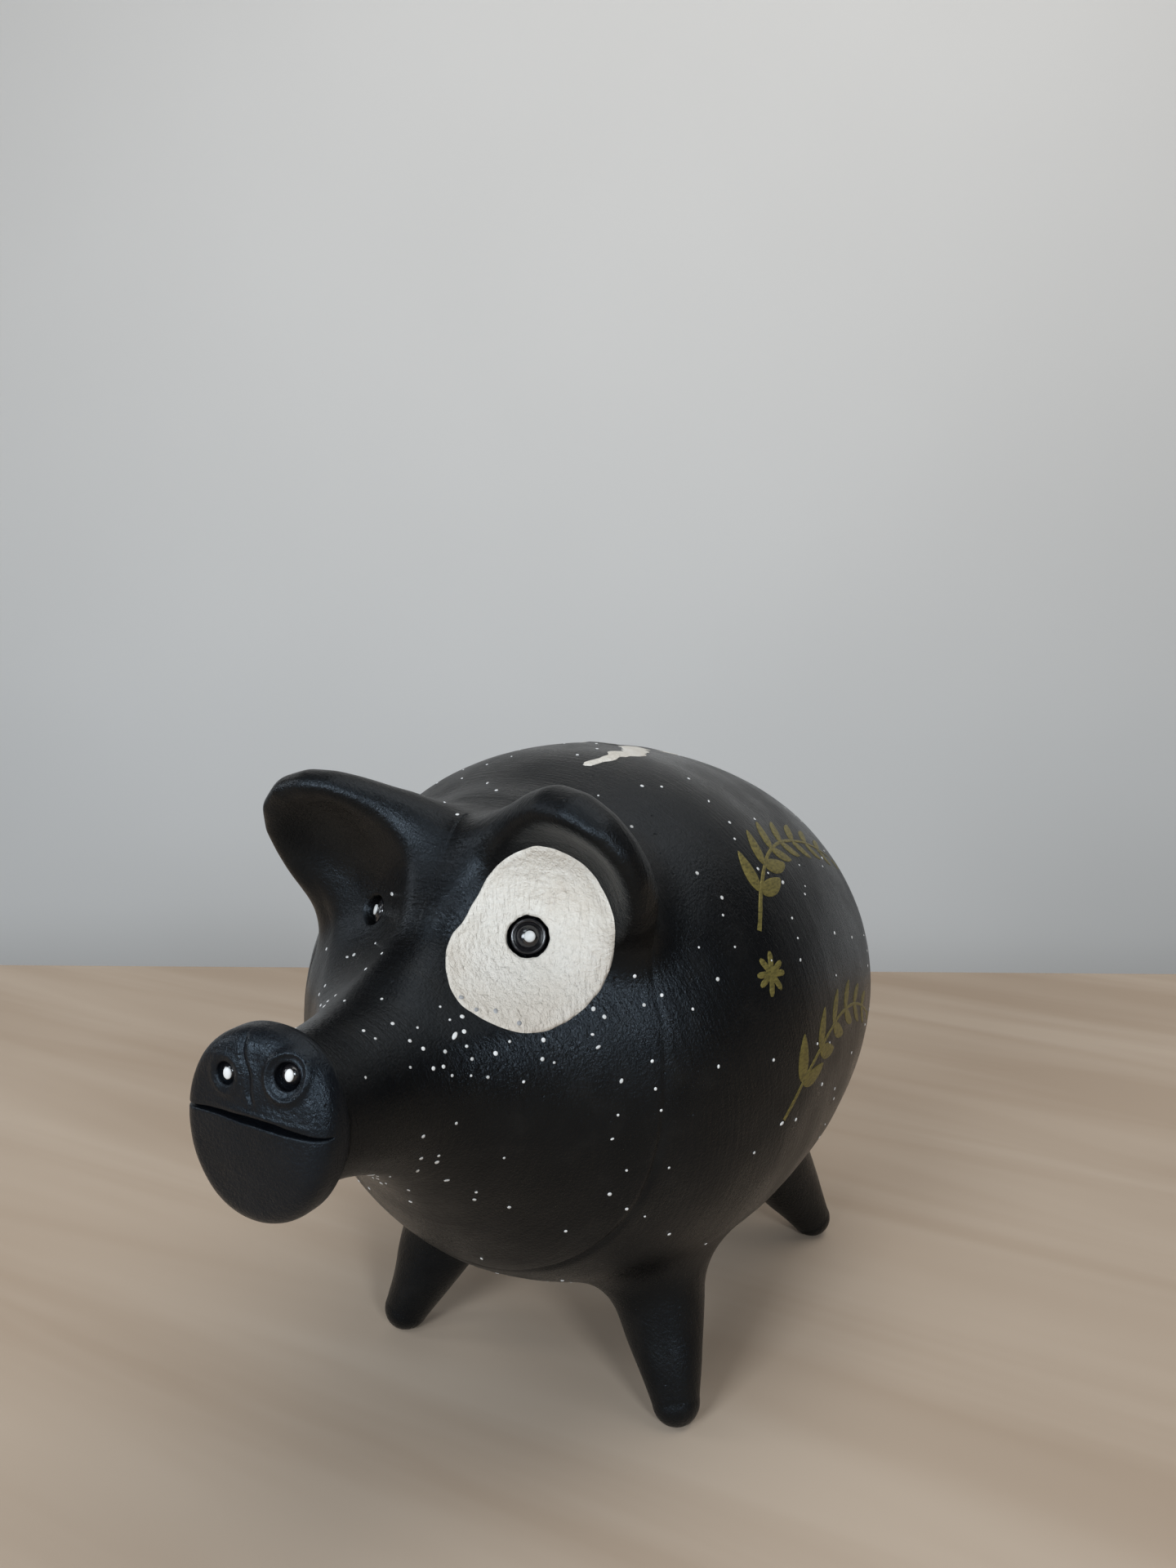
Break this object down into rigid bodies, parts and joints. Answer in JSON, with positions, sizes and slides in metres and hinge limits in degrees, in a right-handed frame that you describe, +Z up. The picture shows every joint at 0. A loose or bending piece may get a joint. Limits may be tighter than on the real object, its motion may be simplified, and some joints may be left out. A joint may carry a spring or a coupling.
{
  "type": "piggy bank",
  "caption": "Hand-thrown hollow clay pig coin bank on splayed legs, with a coin slot along the back, cupped ears, a disc snout and a pull-out belly stopper.",
  "frame": {"origin": "on the table plane, under the middle of the whole object's box", "axes": "+Z up; the snout points along -Y and the tail along +Y; +X is the pig's left side"},
  "size_m": [0.1328, 0.228, 0.1567],
  "materials": {
    "painted_clay": "black acrylic brushed over unglazed clay, satin with matte patches",
    "gloss_black": "glossy black varnish over clay",
    "cream_paint": "thick cream acrylic with brush ridges",
    "white_paint": "small raised dots of white acrylic",
    "gold_paint": "thin metallic gold paint-marker strokes",
    "stopper_rubber": "matte moulded rubber"
  },
  "bodies": {
    "pig": {"body_shell": "painted_clay", "head_shell": "painted_clay", "snout_disc": "painted_clay", "left_ear": "painted_clay", "right_ear": "painted_clay", "front_left_leg": "painted_clay", "front_right_leg": "painted_clay", "rear_left_leg": "painted_clay", "rear_right_leg": "painted_clay", "tail": "painted_clay", "left_eye": "gloss_black", "right_eye": "gloss_black"},
    "stopper": {"belly_stopper": "stopper_rubber"}
  },
  "joints": [
    {"name": "stopper_pull", "type": "slide", "parent": "pig", "child": "stopper", "axis": [0, 0, -1], "range_m": [0, 0.02]}
  ]
}
